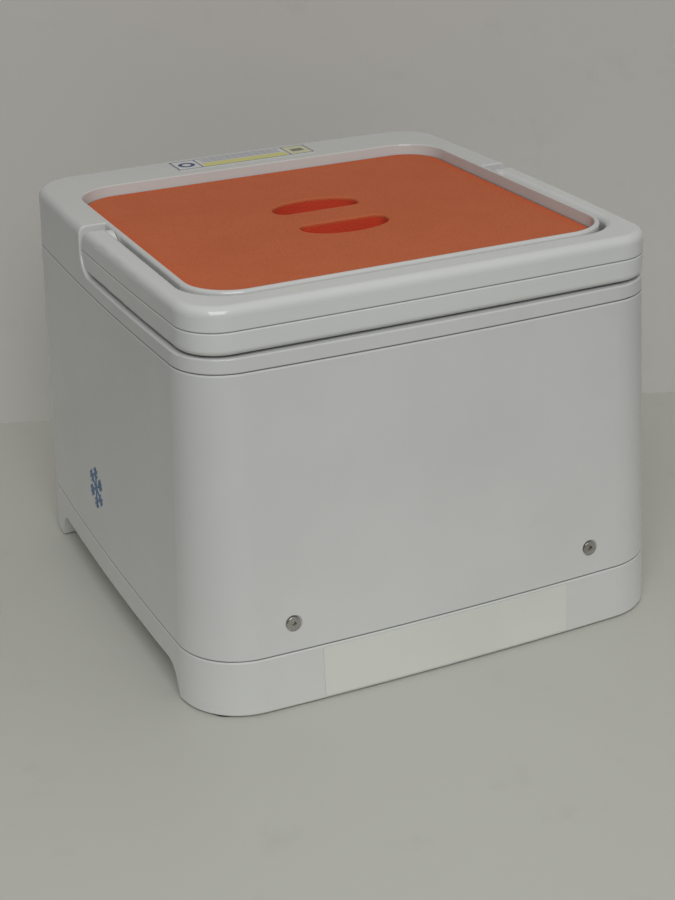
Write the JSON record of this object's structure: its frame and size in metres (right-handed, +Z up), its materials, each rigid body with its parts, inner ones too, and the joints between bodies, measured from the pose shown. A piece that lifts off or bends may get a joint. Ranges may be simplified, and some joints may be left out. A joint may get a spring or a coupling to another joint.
{
  "type": "cryobox carrier",
  "caption": "Insulated table-top carrier for a box of frozen samples, with a lift-out foam lid over its vessel, a swing-over carrying handle and a temperature panel on one side.",
  "frame": {"origin": "bottom centre of the box round the whole object, on the surface that it stands on", "axes": "+Z up, -Y towards the plain long side with two screws, over which the handle's bar lies, +Y towards the side with the temperature panel, X along the handle's pivots"},
  "size_m": [0.2984, 0.3122, 0.2303],
  "materials": {
    "shell": "moulded, slightly glossy near-white",
    "tray": "moulded, slightly glossy near-white",
    "handle": "moulded, slightly glossy near-white",
    "foam": "soft closed-cell foam, orange, matt",
    "insulation": "rigid moulded insulating foam, cream",
    "liner": "moulded, satin",
    "rubber": "matt black",
    "gasket": "matt dark grey",
    "steel": "plain bright steel",
    "pin_steel": "ground",
    "bush": "self-lubricating, natural",
    "rack": "satin",
    "fascia": "fine grain, dark grey",
    "window": "clear",
    "display": "grey-green display",
    "board": "green laminate",
    "black_part": "black",
    "key": "soft grey key",
    "light": "green lens",
    "port": "stamped",
    "lead": "black sheath",
    "battery": "printed sleeve, dark",
    "contact": "plated",
    "label": "blank, satin",
    "mark": "printed blue"
  },
  "bodies": {
    "case": {"base_tray": "tray", "rubber_feet": "rubber", "body_shell": "shell", "top_cover": "shell", "case_screws": "steel", "cover_screws": "steel", "pivot_pins": "pin_steel", "handle_bumpers": "gasket", "vessel_liner": "liner", "mouth_gasket": "gasket", "insulation_walls": "insulation", "insulation_floor": "insulation", "probe_sheath": "steel", "probe_gland": "black_part", "probe_lead": "lead", "lead_clip": "black_part", "control_fascia": "fascia", "display_window": "window", "display_module": "display", "circuit_board": "board", "board_spacers": "black_part", "board_screws": "steel", "board_connectors": "liner", "key_switches": "black_part", "status_light": "light", "buzzer": "black_part", "data_port": "port", "port_pin": "steel", "battery_box": "black_part", "battery_cells": "battery", "battery_contacts": "contact", "battery_lead": "lead", "rating_plate": "label", "deck_label": "label", "side_mark": "mark"},
    "handle": {"handle_upper": "handle", "handle_lower": "handle", "handle_screws": "steel", "pivot_bushes": "bush"},
    "lid": {"foam_lid": "foam", "lid_plug": "foam"},
    "rack": {"payload_tray": "rack"},
    "power_key": {"key_power": "key"},
    "alarm_key": {"key_alarm": "key"},
    "probe_key": {"key_probe": "key"},
    "socket_cover": {"port_cover": "gasket"},
    "bay_door": {"battery_door": "shell"}
  },
  "joints": [
    {"name": "handle_hinge", "type": "hinge", "parent": "case", "child": "handle", "pos_m": [0, 0.014, 0.217], "axis": [-1, 0, 0], "range_deg": [0, 97]},
    {"name": "lid_lift", "type": "slide", "parent": "case", "child": "lid", "axis": [0, 0, 1], "range_m": [0, 0.08]},
    {"name": "rack_lift", "type": "slide", "parent": "case", "child": "rack", "axis": [0, 0, 1], "range_m": [0, 0.06]},
    {"name": "power_key_press", "type": "slide", "parent": "case", "child": "power_key", "axis": [0, -0.999, -0.0436], "range_m": [0, 0.0006], "stiffness_N_per_m": 2500},
    {"name": "alarm_key_press", "type": "slide", "parent": "case", "child": "alarm_key", "axis": [0, -0.999, -0.0436], "range_m": [0, 0.0006], "stiffness_N_per_m": 2500},
    {"name": "probe_key_press", "type": "slide", "parent": "case", "child": "probe_key", "axis": [0, -0.999, -0.0436], "range_m": [0, 0.0006], "stiffness_N_per_m": 2500},
    {"name": "socket_cover_hinge", "type": "hinge", "parent": "case", "child": "socket_cover", "pos_m": [-0.032, 0.15181, 0.1464], "axis": [1, 0, 0], "range_deg": [0, 110]},
    {"name": "bay_door_pull", "type": "slide", "parent": "case", "child": "bay_door", "axis": [0, 0.999, 0.0436], "range_m": [0, 0.025]}
  ]
}
